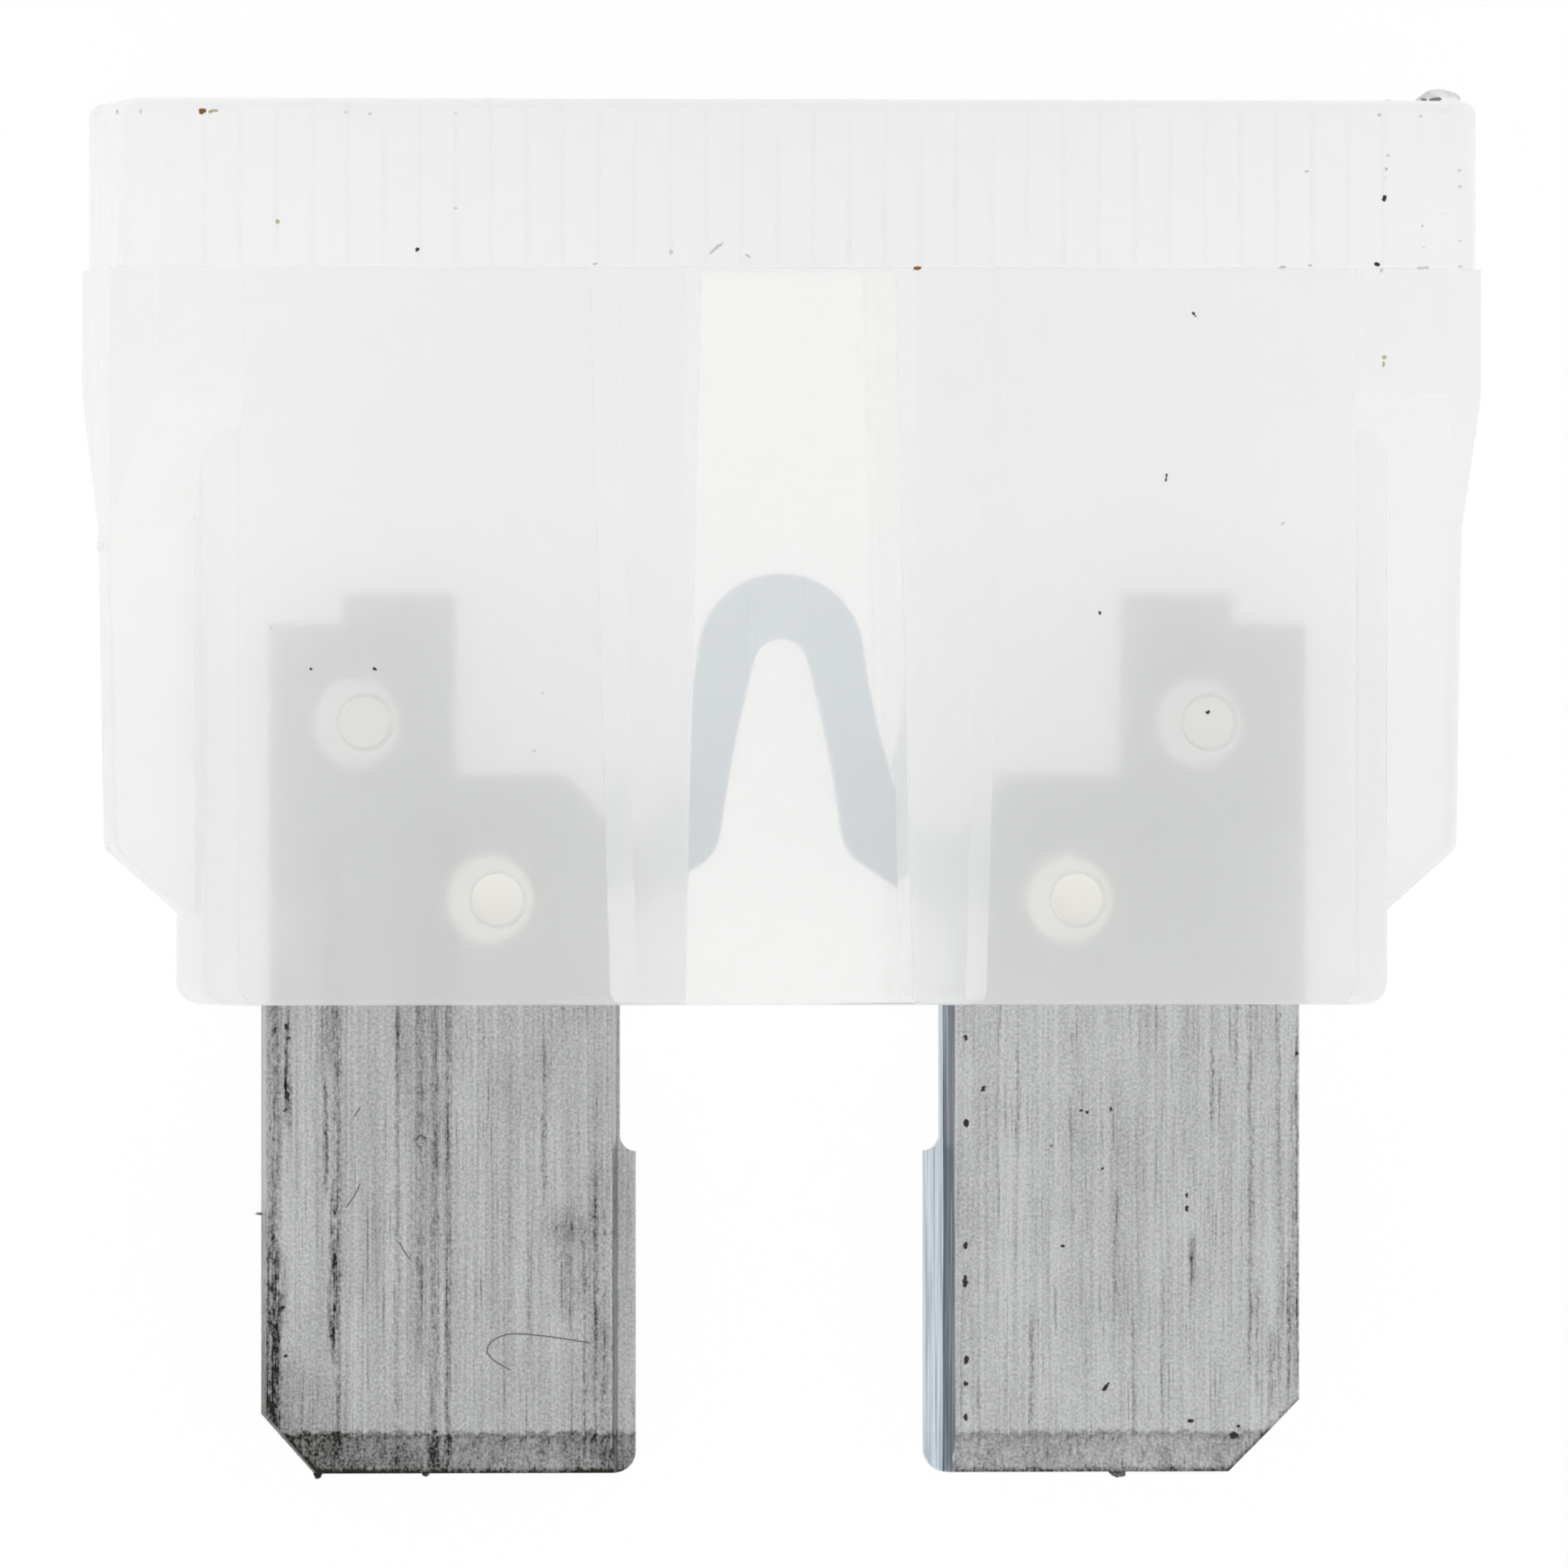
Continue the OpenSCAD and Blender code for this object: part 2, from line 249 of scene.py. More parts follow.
windowBox = {"halfTop": 2.89, "halfFoot": 2.61, "halfThick": 2.3, "chamfer": 0.33, "lowerEdge": 0.2}
chamber = {"halfTop": 1.36, "halfFoot": 1.6, "halfThick": 1.8, "edge": 0.03}
slot = {
    "halfThick": 0.365, "outerX": 7.24, "outerHeight": 5.29, "stepX": 6.23, "innerHeight": 5.71,
    "innerX": 4.6, "shoulderHeight": 3.21, "chamberX": 0.86, "edge": 0.03,
}
stake = {
    "radius": 0.59, "floor": 0.35, "rim": 0.41, "floorDepth": 1.65, "sides": 40, "shift": -0.12,
    "lower": [(4.03, 1.46)], "upper": [(5.87, 3.9)],
}


def barRing(height, halfWidth, halfThick, radius, steps=6):
    corners = []
    for sx, sz, start in ((1, 1, 0), (-1, 1, 90), (-1, -1, 180), (1, -1, 270)):
        corners += arc(sx * (halfWidth - radius), sz * (halfThick - radius), radius, start, start + 90, steps)
    return [place(x, height, z) for x, z in corners]


def bodyRing(height, inX, inZ):
    b = body
    stepX = b["halfWidth"] - b["railWidth"]
    fillet = b["stepFillet"]
    # the arc starts at 81 degrees, past the fillet's last point
    rail = arc(stepX - inX, b["halfRail"] - b["railWidth"] - inZ, b["railWidth"], 81, 0, 7)
    quarter = [
        (stepX - inX - fillet, b["halfPanel"] - inZ),
        (stepX - inX, b["halfPanel"] + fillet - inZ),
        (stepX - inX, b["halfRail"] - fillet - inZ),
        (stepX - inX + 0.3 * fillet, b["halfRail"] - 0.3 * fillet - inZ),
    ] + rail
    half = quarter + [(x, -z) for x, z in reversed(quarter)]
    return [place(x, height, z) for x, z in half + [(-x, z) for x, z in reversed(half)]]


def bodyShape():
    r, rz = body["footRadius"], body["lowerEdge"]
    rings = []
    for i in range(9):
        up = r * (1 - math.cos(math.radians(90 * i / 8)))
        inX = r - math.sqrt(r * r - (r - up) ** 2)
        inZ = rz - math.sqrt(rz * rz - (rz - up) ** 2) if up < rz else 0
        rings.append(bodyRing(up, inX, inZ))
    rings.append(bodyRing(body["height"] + body["intoHead"], 0, 0))
    return loft(rings)


def roundedEnd(base, direction, radius, steps):
    angles = [math.radians(90 * i / steps) for i in range(steps + 1)]
    return [(base + direction * radius * (1 - math.cos(a)), radius * (1 - math.sin(a))) for a in angles]


def headShape():
    h = head
    bottom = roundedEnd(body["height"], 1, h["lowerEdge"], 2)
    top = roundedEnd(body["height"] + h["height"], -1, h["topEdge"], 5)
    return loft([barRing(y, h["halfWidth"] - inset, h["halfThick"] - inset, h["edge"] - inset)
                 for y, inset in bottom + top[::-1]])


def windowBoxShape():
    w = windowBox
    rings = [barRing(y, w["halfFoot"] - inset, w["halfThick"] - inset, w["chamfer"] - inset, 1)
             for y, inset in roundedEnd(0, 1, w["lowerEdge"], 5)]
    slope = (w["halfTop"] - w["halfFoot"]) / (body["height"] - w["lowerEdge"])
    top = body["height"] + body["intoHead"] / 2
    halfTop = w["halfFoot"] + slope * (top - w["lowerEdge"])
    rings.append(barRing(top, halfTop, w["halfThick"], w["chamfer"], 1))
    return loft(rings)


def plate(outline, halfThick):
    return loft([[place(x, y, z) for x, y in outline] for z in (-halfThick, halfThick)])


def earShape(side):
    e = ear
    thick, thin = head["halfThick"], wing["halfThick"] + 0.02
    slopeTop = body["height"] - e["height"]
    block = [(e["innerX"], thick), (e["halfFlat"], thick), (e["halfWidth"], e["halfSide"])]
    foot = [(e["innerX"], thin), (wing["halfTop"] - 0.02, thin), (wing["halfTop"], thin - 0.02)]
    rings = []
    for height, half in ((slopeTop - e["run"], foot), (slopeTop, block), (body["height"], block)):
        whole = half + [(x, -z) for x, z in reversed(half)]
        rings.append([place(side * x, height, z) for x, z in whole])
    return soften(loft(rings), e["edge"], 3)


def wingShape(side):
    w = wing
    earFoot = body["height"] - ear["height"]
    inner = body["halfWidth"] - w["intoBody"]
    outline = [
        (inner, w["foot"]), (body["halfWidth"], w["foot"]), (w["halfFoot"], w["foot"] + w["cut"]),
        (w["halfTop"], earFoot - ear["run"]), (ear["halfWidth"] - 0.02, earFoot),
        (ear["halfFlat"], earFoot + w["intoEar"]), (inner, earFoot + w["intoEar"]),
    ]
    return soften(plate([(side * x, y) for x, y in outline], w["halfThick"]), w["edge"], 3, 8)


def chamberCutter():
    c = chamber
    lean = (c["halfFoot"] - c["halfTop"]) / body["height"]
    top = roundedEnd(body["height"], -1, c["edge"], 3)
    # the last ring keeps a hundredth of its rounding, so that its corners stay apart
    rings = [barRing(-1, c["halfFoot"] + lean, c["halfThick"], c["edge"], 3)]
    for y, inset in top[::-1]:
        halfWidth = c["halfFoot"] - lean * y - inset
        rings.append(barRing(y, halfWidth, c["halfThick"] - inset, c["edge"] - inset * 0.99, 3))
    return loft(rings)


def slotCutter(side):
    s = slot
    outline = [
        (s["outerX"], -1), (s["outerX"], s["outerHeight"]), (s["stepX"], s["outerHeight"]),
        (s["stepX"], s["innerHeight"]), (s["innerX"], s["innerHeight"]),
        (s["innerX"], s["shoulderHeight"]), (s["chamberX"], s["shoulderHeight"]), (s["chamberX"], -1),
    ]
    return soften(plate([(side * x, y) for x, y in outline], s["halfThick"]), s["edge"])


def turned(profile, x, height):
    angles = [2 * math.pi * i / stake["sides"] for i in range(stake["sides"])]
    return loft([[place(x + radius * math.cos(a), height + radius * math.sin(a), depth) for a in angles]
                 for radius, depth in profile])


def punchCutter(x, height, side):
    s = stake
    profile = [(s["floor"], s["floorDepth"]), (s["rim"], body["halfPanel"]), (s["rim"], body["halfRail"])]
    return turned([(radius, side * depth) for radius, depth in profile], x, height)


def gripCutters(material):
    g = grip
    reach = head["halfWidth"] - head["edge"] + g["shift"]
    perSide = int((reach - g["pitch"] / 2) / g["pitch"]) + 1
    tree = bpy.data.node_groups.new("gripGrooves", "GeometryNodeTree")
    tree.interface.new_socket("Geometry", in_out="OUTPUT", socket_type="NodeSocketGeometry")
    values = {"Span": (2 * perSide - 1) * g["pitch"] * mm, "Across": 2 * head["halfThick"] * mm,
              "Half width": g["halfWidth"] * mm, "Depth": g["depth"] * mm, "Length": g["length"] * mm}
    for name in values:
        tree.interface.new_socket(name, in_out="INPUT", socket_type="NodeSocketFloat")
    tree.interface.new_socket("Grooves", in_out="INPUT", socket_type="NodeSocketInt")
    values["Grooves"] = 2 * perSide
    given = addNode(tree, "NodeGroupInput").outputs
    grid = addNode(tree, "GeometryNodeMeshGrid", {
        "Size X": given["Span"], "Size Y": given["Across"], "Vertices X": given["Grooves"], "Vertices Y": 2})
    rod = addNode(tree, "GeometryNodeMeshCylinder", {"Vertices": 4, "Radius": 1.0, "Depth": 1.0})
    size = addNode(tree, "ShaderNodeCombineXYZ", {
        "X": given["Half width"], "Y": given["Depth"], "Z": given["Length"]})
    rods = addNode(tree, "GeometryNodeInstanceOnPoints", {
        "Points": grid.outputs["Mesh"], "Instance": rod.outputs["Mesh"], "Scale": size.outputs[0]})
    real = addNode(tree, "GeometryNodeRealizeInstances", {"Geometry": rods.outputs[0]})
    skin = addNode(tree, "GeometryNodeSetMaterial", {"Geometry": real.outputs[0], "Material": material})
    addNode(tree, "NodeGroupOutput", {"Geometry": skin.outputs[0]})
    holder = runNodes(newObject("gripGrooves", bpy.data.meshes.new("gripGrooves")), tree, values)
    # the grid lies in X and Y, and each rod stands on it: turned so that the rods run along the head
    holder.data.transform(Matrix.Rotation(math.radians(90), 4, "X"))
    start = body["height"] + g["start"] + g["length"] / 2
    holder.data.transform(Matrix.Translation(place(g["shift"], start, 0) * mm))
    return holder


def housingPiece(material):
    housing = finishMesh(bodyShape(), "nylonHousing", material)
    parts = [headShape(), windowBoxShape()]
    for side in (1, -1):
        parts += [earShape(side), wingShape(side)]
    combine(housing, [finishMesh(bm, "part", material) for bm in parts], "UNION")
    print("housing joined")
    slots = [finishMesh(slotCutter(side), "slot", material) for side in (1, -1)]
    stakes, punches = [], []
    for x, height in stake["lower"] + stake["upper"]:
        for side in (1, -1):
            web = slot["halfThick"] + 0.1
            middle = stake["shift"] + side * x
            rod = turned([(stake["radius"], -web), (stake["radius"], web)], middle, height)
            stakes.append(finishMesh(rod, "stake", material))
            punches += [finishMesh(punchCutter(middle, height, front), "punch", material)
                        for front in (1, -1)]
    hollow = finishMesh(chamberCutter(), "hollow", material)
    combine(hollow, slots, "UNION")
    combine(hollow, stakes, "DIFFERENCE")
    combine(housing, [hollow] + punches, "DIFFERENCE")
    print("housing hollowed")
    combine(housing, [gripCutters(material)], "DIFFERENCE")
    smoothSides(housing)
    return housing


# Milky nylon, moulded, unfilled and uncoloured. Light wanders in it, so metal behind it looks pale and
# blurred. The tool was polished round the chamber and matt elsewhere. The grip lines are painted darker in
# uneven patches, as painted shade in the grooves. The body is painted darker towards the head, as painted
# shade, and the chamber's window is painted whiter, as painted light. The lower stakes are whiter and less
# clear:
# partly plastic stressed by harder pressing, partly painted light, and the ring round them is painted light

nylon = {
    "head": "#F9F9F9", "body": "#F9F9F8", "shadedUpperBody": "#F6F6F5", "upperFrom": 6.5, "upperTo": 9.0,
    # the window colour is painted whiter, as painted light that brightens the thin-walled chamber
    "window": "#FCFCFB", "plug": "#F6F6F4", "upperStakes": "#F9F8F0", "lowerStakesWhiteAndLit": "#FFFCF6",
    # the lower stakes' white colour and lost clearness are partly stressed plastic, partly painted light;
    # their ring is painted light
    "whitenedAndLit": 0.55, "haloShare": 0.3, "haloSoft": 0.06, "haloShift": -0.1,
    "matt": 0.3, "mattPatches": (0.4, 0.6, 3.0, 0.08), "polished": 0.1, "ior": 1.53,
    "scatterColour": "#FFFFFF", "scatterPerMm": 1.0, "forward": 0.4,
}
# Painted shade: the grip lines are coloured darker over the grooves, in uneven patches, less towards the
# head's top
gripGrooveShade = {
    "colour": "#F0F0EF", "core": 0.01, "halfWidth": 0.07, "halfSpan": 8.55, "start": 0.02, "full": 0.06,
    "atTop": 0.55, "level": 0.55, "patches": (0.3, 0.5, 3.0, 2.2), "least": 0.15,
}


def windowMask(tree, x, y):
    inside = calc(tree, "LESS_THAN", calc(tree, "ABSOLUTE", x), chamber["halfFoot"])
    below = calc(tree, "LESS_THAN", y, undersideY + body["height"] - 0.01)
    return calc(tree, "MULTIPLY", inside, below)


def stakeMask(tree, position, places, radius, soft=0.02, shift=0.0):
    spots = []
    for x, height in places:
        for side in (1, -1):
            across = addNode(tree, "ShaderNodeVectorMath", {
                0: position, 1: place(stake["shift"] + shift + side * x, height, 0)}, operation="SUBTRACT")
            flat = addNode(tree, "ShaderNodeVectorMath", {0: across.outputs[0], 1: (1, 1, 0)},
                           operation="MULTIPLY")
            away = addNode(tree, "ShaderNodeVectorMath", {0: flat.outputs[0]}, operation="LENGTH")
            spots.append(fade(tree, away.outputs["Value"], radius - soft, radius + soft, 1.0, 0.0))
    return chain(tree, "ADD", spots)


def gripGrooveShadeMask(tree, position, x, y):
    d = gripGrooveShade
    height = calc(tree, "SUBTRACT", y, undersideY + body["height"])
    step = calc(tree, "FRACT", calc(tree, "DIVIDE", calc(tree, "SUBTRACT", x, grip["shift"]), grip["pitch"]))
    away = calc(tree, "MULTIPLY", calc(tree, "ABSOLUTE", calc(tree, "SUBTRACT", step, 0.5)), grip["pitch"])
    line = fade(tree, away, d["core"], d["halfWidth"], 1.0, 0.0)
    patches = calc(tree, "ADD", noise(tree, position, *d["patches"]), d["level"])
    return chain(tree, "MULTIPLY", [
        line, fade(tree, height, d["start"], d["full"]), near(tree, x, grip["shift"], d["halfSpan"], 0.1),
        fade(tree, height, d["full"], head["height"], 1.0, d["atTop"]),
        calc(tree, "MAXIMUM", patches, d["least"])])


def milkyNylon():
    material, tree = newMaterial("milkyMouldedNylon")
    n = nylon
    position, x, y = inMillimetres(tree)
    # Painted shade: the body is coloured darker towards the head
    upward = fade(tree, y, undersideY + n["upperFrom"], undersideY + n["upperTo"])
    bodyColour = blend(tree, upward, hexColour(n["body"]), hexColour(n["shadedUpperBody"]))
    below = calc(tree, "LESS_THAN", y, undersideY + body["height"])
    window = windowMask(tree, x, y)
    upper = stakeMask(tree, position, stake["upper"], stake["floor"])
    lower = stakeMask(tree, position, stake["lower"], stake["floor"])
    # Painted light: a ring round each lower stake, shifted left, is coloured white and made less clear where
    # light comes through the metal's hole; the floors are partly stressed plastic, partly painted light
    halo = stakeMask(tree, position, stake["lower"], stake["radius"], n["haloSoft"], n["haloShift"])
    colour = blend(tree, below, hexColour(n["head"]), bodyColour)
    for mask, code in (
            (window, n["window"]), (gripGrooveShadeMask(tree, position, x, y), gripGrooveShade["colour"]),
            (stakeMask(tree, position, stake["lower"] + stake["upper"], stake["radius"]), n["plug"]),
            (upper, n["upperStakes"]), (calc(tree, "MAXIMUM", lower, halo), n["lowerStakesWhiteAndLit"])):
        colour = blend(tree, mask, colour, hexColour(code))
    white = calc(tree, "MAXIMUM", lower, calc(tree, "MULTIPLY", halo, n["haloShare"]))
    roughness = addNode(tree, "ShaderNodeMapRange", {
        "Value": window, "To Min": calc(tree, "ADD", noise(tree, position, *n["mattPatches"]), n["matt"]),
        "To Max": n["polished"]})
    surface = addNode(tree, "ShaderNodeBsdfPrincipled", {
        "Base Color": colour, "Roughness": roughness.outputs[0], "IOR": n["ior"],
        "Transmission Weight": calc(tree, "SUBTRACT", 1.0, calc(tree, "MULTIPLY", white, n["whitenedAndLit"]))})
    inside = addNode(tree, "ShaderNodeVolumeScatter", {
        "Color": hexColour(n["scatterColour"]), "Density": n["scatterPerMm"] / mm,
        "Anisotropy": n["forward"]})
    addNode(tree, "ShaderNodeOutputMaterial", {"Surface": surface.outputs[0], "Volume": inside.outputs[0]})
    return material


# Element: one stamping of zinc strip, drawn lengthwise and tinned, so fine lines and dirty scratches run
# along the blades. The web between them was milled thin, which left it brighter, bluer and coarsely streaked;
# its strip by the slope is painted brighter still, as a painted reflection, and the slope is painted darker,
# as painted shade. The tips were coined and keep the dirt of the tool. Heights in this dictionary are counted
# from the tips

zinc = {
    "light": "#C9CACB", "dark": "#2A2822", "level": 0.735, "roughness": 0.38, "dulled": 0.3, "edge": 0.025,
    "lines": (0.045, 4.0, 2.0, 0.62), "bands": (0.22, 9.0, 1.0, 0.3), "grain": (0.035, 0.04, 1.0, 0.8),
    "clouds": (0.7, 1.1, 2.0, 0.22), "relief": 0.01, "reliefShare": 0.25,
    "scratch": (0.035, 1.3, 1.0, 1.0), "scratchFrom": 0.14, "scratchDepth": 2.6,
    # behind plastic it is painted cooler, and painted paler behind the chamber's thick right wall, standing
    # in for the plastic's veil of light; outside the housing the right blade is painted lighter, as painted
    # light
    "rightPaintedLight": 0.1, "insideFrom": 6.5, "insideTo": 7.0, "insideLight": "#C3CACA",
    "wallLift": 0.2, "wallMiddle": 2.25, "wallHalf": 0.6,
    "markSway": (0.4, 1.2, 2.0, 0.05), "markShake": (0.04, 0.1, 1.0, 0.09), "markLevel": 0.95,
    "markThreads": (0.025, 0.9, 1.0, 2.4), "markGaps": (0.05, 0.13, 3.0, 3.2),
    "tipFrom": 0.5, "tipTo": 0.62, "tipRagged": (0.12, 0.12, 2.0, 0.25), "leftTip": 0.34, "rightTip": 0.27,
    "tipClouds": (0.3, 0.25, 3.0, 0.9), "tipSpecks": (0.03, 0.12, 1.0, 0.5),
    "border": 0.53, "borderHalf": 0.04, "borderSoft": 0.08, "borderDirt": 0.14,
    "leftCut": 6.48, "rightCut": 6.2, "cutRagged": (0.1, 0.1, 2.0, 0.12),
    "endRagged": (0.08, 0.08, 2.0, 0.08), "rimWidth": 0.1, "rimDirt": 0.4,
    "cornerRagged": (0.3, 0.3, 3.0, 1.2), "cornerFrom": 0.8, "cornerTo": 2.4, "cornerDirt": 0.24,
    "milled": "#D4DDE4", "milledDark": "#6E747C", "milledLeft": -1.95, "linkLevel": 0.91, "linkEnd": 2.0,
    "webReflectionLevel": 1.0, "webEnd": 2.27, "milledRight": 2.39, "streaks": (0.03, 2.2, 2.0, 2.6),
    "legHeight": 8.4, "archHeight": 11.6, "legShade": -0.15,
    "slopeMiddle": 2.33, "slopeHalf": 0.065, "slopeShade": -0.82,
}

# Marks that the strip got when it was drawn: distance from the middle, width, lower and upper end, darkness
drawMarks = [
    (-7.07, 0.13, -0.5, 7, 0.3), (-7.17, 0.18, -0.5, 3.6, 0.25), (-6.21, 0.1, 0.4, 7, 0.28),
    (-6.27, 0.1, 1.7, 3.9, 0.42), (-6.37, 0.06, 3.9, 5.4, 0.4), (-6.36, 0.22, 5.6, 9, 0.22),
    (-5.38, 0.07, 0, 9, 0.17), (-5.06, 0.12, 1.6, 8, 0.25), (-4.86, 0.13, 0, 9, 0.24),
    (-4.67, 0.08, 0, 9, 0.26), (-3.53, 0.05, 1.6, 3.2, 0.18), (-3.33, 0.06, 3.8, 6, 0.24),
    (-2.55, 0.55, -0.5, 4.4, 0.11), (-2.62, 0.05, 0.3, 4.2, 0.2), (-2.36, 0.05, 0.3, 4.3, 0.24),
    (-2.5, 0.03, 0.3, 3.6, 0.2), (-2.78, 0.04, 0.3, 3.4, 0.2), (-3.06, 0.5, 3.15, 3.6, 0.22),
    (-2.98, 0.4, 2.2, 3.2, 0.13), (-6.92, 0.07, 5.2, 6.3, 0.36), (-6.9, 0.1, 4.8, 5.5, 0.28),
    (-7.0, 0.14, 2.0, 3.0, 0.3), (-7.2, 0.26, -0.5, 2.6, 0.16), (-7.22, 0.16, 2.6, 7, 0.1),
    (-5.3, 0.2, 5.2, 6.4, 0.12), (2.52, 0.3, 0, 4.6, 0.07), (3.26, 0.04, 4.3, 5.8, 0.2),
    (3.46, 0.06, 0.5, 2.1, 0.28), (4.23, 0.07, 0.8, 2.4, 0.14), (4.63, 0.05, 2.2, 3.9, 0.2),
    (5.71, 0.09, 2.6, 3.2, 0.4), (6.32, 0.05, 5.5, 7, 0.28), (6.52, 0.06, 1.4, 7, 0.22),
    (6.82, 0.1, 0.9, 1.9, 0.3), (6.92, 0.06, 0.8, 7, 0.2), (7.12, 0.08, 0.6, 5.4, 0.16),
    (7.06, 0.05, 1.0, 3.0, 0.3), (7.17, 0.04, 1.2, 6.2, 0.3), (6.62, 0.04, 1.0, 2.6, 0.25),
    (5.98, 0.04, 4.8, 6.0, 0.3), (4.88, 0.05, 0.6, 2.2, 0.2), (3.12, 0.04, 0.4, 2.0, 0.2),
    (2.98, 0.04, 4.0, 5.4, 0.14), (4.03, 0.03, 3.2, 6.2, 0.14), (5.3, 0.04, 0.8, 2.8, 0.14),
]


def drawnMarks(tree, position, x, height):
    z = zinc
    shaky = chain(tree, "ADD", [x] + noises(tree, position, z["markSway"], z["markShake"]))
    marks = []
    for middle, width, low, high, darkness in drawMarks:
        across = near(tree, shaky, middle, width / 2, width * 0.8)
        along = near(tree, height, (low + high) / 2, (high - low) / 2, 0.5)
        marks.append(chain(tree, "MULTIPLY", [across, along, darkness]))
    patches = chain(tree, "ADD", [z["markLevel"]] + noises(tree, position, z["markThreads"], z["markGaps"]))
    return calc(tree, "MULTIPLY", chain(tree, "ADD", marks), calc(tree, "MAXIMUM", patches, 0.0))


def leftOrRight(tree, x, left, right):
    return fade(tree, x, -1.0, 1.0, left, right)


def coinedTips(tree, position, x, height):
    z = zinc
    ragged = calc(tree, "ADD", height, noise(tree, position, *z["tipRagged"]))
    speckled = chain(tree, "ADD", [1.0] + noises(tree, position, z["tipClouds"], z["tipSpecks"]))
    tips = chain(tree, "MULTIPLY", [fade(tree, ragged, z["tipFrom"], z["tipTo"], 1.0, 0.0),
                                    leftOrRight(tree, x, z["leftTip"], z["rightTip"]), speckled])
    border = near(tree, ragged, z["border"], z["borderHalf"], z["borderSoft"])
    return tips, calc(tree, "MULTIPLY", border, z["borderDirt"])


def rimDirt(tree, position, x, height):
    z = zinc
    toCut = chain(tree, "ADD", [height, calc(tree, "MULTIPLY", calc(tree, "ABSOLUTE", x), -1.0),
                                leftOrRight(tree, x, z["leftCut"], z["rightCut"]),
                                noise(tree, position, *z["cutRagged"])])
    toEnd = calc(tree, "ADD", height, noise(tree, position, *z["endRagged"]))
    rim = fade(tree, calc(tree, "MINIMUM", toCut, toEnd), 0.0, z["rimWidth"], z["rimDirt"], 0.0)
    fromCorner = chain(tree, "ADD", [x, height, elementHigh.x, noise(tree, position, *z["cornerRagged"])])
    corner = fade(tree, fromCorner, z["cornerFrom"], z["cornerTo"], z["cornerDirt"], 0.0)
    return calc(tree, "ADD", rim, corner)


def milledSkin(tree, position, x, height, wall):
    z = zinc
    streaks = calc(tree, "MULTIPLY", noise(tree, position, *z["streaks"]),
                   fade(tree, x, z["linkEnd"] - 0.1, z["linkEnd"]))
    slope = calc(tree, "MULTIPLY", near(tree, x, z["slopeMiddle"], z["slopeHalf"], 0.02),
                 fade(tree, wall, 0.0, 1.0, z["slopeShade"], 0.0))
    # Painted light and shade: the web brightens towards the slope as a painted reflection, the slope is
    # painted darker as painted shade except behind the wall, and the legs darker towards the bottom as
    # painted shade
    shine = chain(tree, "ADD", [
        fade(tree, x, z["linkEnd"], z["webEnd"], z["linkLevel"], z["webReflectionLevel"]), streaks,
        fade(tree, height, z["legHeight"], z["archHeight"], z["legShade"], 0.0), slope,
        calc(tree, "MULTIPLY", wall, z["wallLift"])])
    return blend(tree, shine, hexColour(z["milledDark"]), hexColour(z["milled"]))


def tinnedZinc():
    material, tree = newMaterial("drawnTinnedZinc")
    z = zinc
    position, x, y = inMillimetres(tree)
    height = calc(tree, "SUBTRACT", y, elementLow.y)
    lines, bands, grain, clouds, scratch = noises(
        tree, position, z["lines"], z["bands"], z["grain"], z["clouds"], z["scratch"])
    scratches = calc(tree, "MULTIPLY", calc(
        tree, "MAXIMUM", calc(tree, "SUBTRACT", scratch, z["scratchFrom"]), 0.0), z["scratchDepth"])
    marks = drawnMarks(tree, position, x, height)
    tips, border = coinedTips(tree, position, x, height)
    inside = fade(tree, height, z["insideFrom"], z["insideTo"])
    wall = calc(tree, "MULTIPLY", inside, near(tree, x, z["wallMiddle"], z["wallHalf"], 0.1))
    outside = calc(tree, "SUBTRACT", 1.0, inside)
    # Painted light: paler behind the chamber's right wall, and the right blade lighter outside the housing
    level = chain(tree, "ADD", [
        z["level"], lines, bands, grain, clouds, calc(tree, "MULTIPLY", wall, z["wallLift"]),
        calc(tree, "MULTIPLY", leftOrRight(tree, x, 0.0, z["rightPaintedLight"]), outside)])
    soiled = chain(tree, "ADD", [marks, tips, border, scratches, rimDirt(tree, position, x, height)])
    light = blend(tree, inside, hexColour(z["light"]), hexColour(z["insideLight"]))
    drawn = blend(tree, calc(tree, "SUBTRACT", level, soiled), hexColour(z["dark"]), light)
    bare = calc(tree, "MULTIPLY", fade(tree, x, z["milledLeft"], z["milledLeft"] + 0.05),
                fade(tree, x, z["milledRight"], z["milledRight"] + 0.01, 1.0, 0.0))
    roughness = chain(tree, "ADD", [
        z["roughness"], calc(tree, "MULTIPLY", calc(tree, "ADD", marks, tips), z["dulled"]), lines])
    relief = addNode(tree, "ShaderNodeBump", {
        "Height": chain(tree, "ADD", [lines, grain, scratches]), "Strength": z["reliefShare"],
        "Distance": z["relief"] * mm})
    surface = addNode(tree, "ShaderNodeBsdfPrincipled", {
        "Base Color": blend(tree, bare, drawn, milledSkin(tree, position, x, height, wall)),
        "Roughness": roughness, "Metallic": 1.0, "Normal": relief.outputs["Normal"]})
    addNode(tree, "ShaderNodeOutputMaterial", {"Surface": surface.outputs[0]})
    return material


def elementPiece(material):
    bm = bmesh.new()
    bm.from_mesh(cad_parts["fuse_element"].data)
    bmesh.ops.remove_doubles(bm, verts=bm.verts, dist=1e-6)
    bmesh.ops.dissolve_limit(bm, angle_limit=math.radians(1), verts=bm.verts, edges=bm.edges)
    bmesh.ops.scale(bm, vec=(1 / mm,) * 3, verts=bm.verts)
    soften(bm, zinc["edge"], 2, 35)
    element = finishMesh(bm, "zincElement", material)
    smoothSides(element, 40)
    return element


# Dirt, flash and burrs, where the photograph shows them

